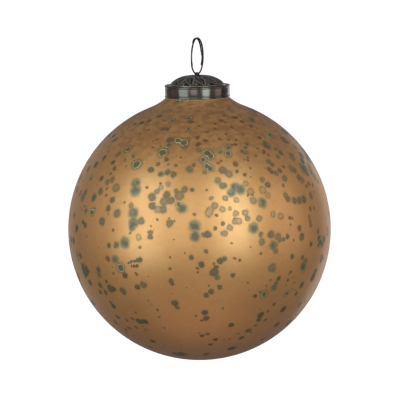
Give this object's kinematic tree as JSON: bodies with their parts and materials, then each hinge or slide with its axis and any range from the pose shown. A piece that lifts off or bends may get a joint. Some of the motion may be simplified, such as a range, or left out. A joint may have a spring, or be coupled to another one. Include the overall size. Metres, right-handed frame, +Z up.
{
  "type": "glass ball ornament",
  "caption": "Hollow mirrored glass ball with a stamped metal cap, a wire eye and a split ring to hang it by.",
  "frame": {"origin": "the hang point: inside of the split ring at its top, where a hook carries it", "axes": "+Z up from the ball to the hang point, +X through the split ring's hole, the ring lying in the YZ plane"},
  "size_m": [0.15, 0.15, 0.1847],
  "materials": {
    "silvered_glass": "satin copper mirror glass with speckled patina",
    "cap_metal": "dark antiqued brass, embossed dome",
    "cement": "matt hard cement",
    "wire": "dark oxidised steel wire"
  },
  "bodies": {
    "ring": {"split_ring": "wire"},
    "eye": {"hanger_eye": "wire"},
    "ball": {"glass_ball": "silvered_glass", "cap": "cap_metal", "cap_cement": "cement"}
  },
  "joints": [
    {"name": "ring_fold", "type": "hinge", "parent": "ring", "child": "eye", "pos_m": [0, 0, -0.01986], "axis": [0, 1, 0], "range_deg": [-80, 80]},
    {"name": "ball_swivel", "type": "hinge", "parent": "eye", "child": "ball", "pos_m": [0, 0, -0.01986], "axis": [0, 0, 1], "continuous": true}
  ]
}
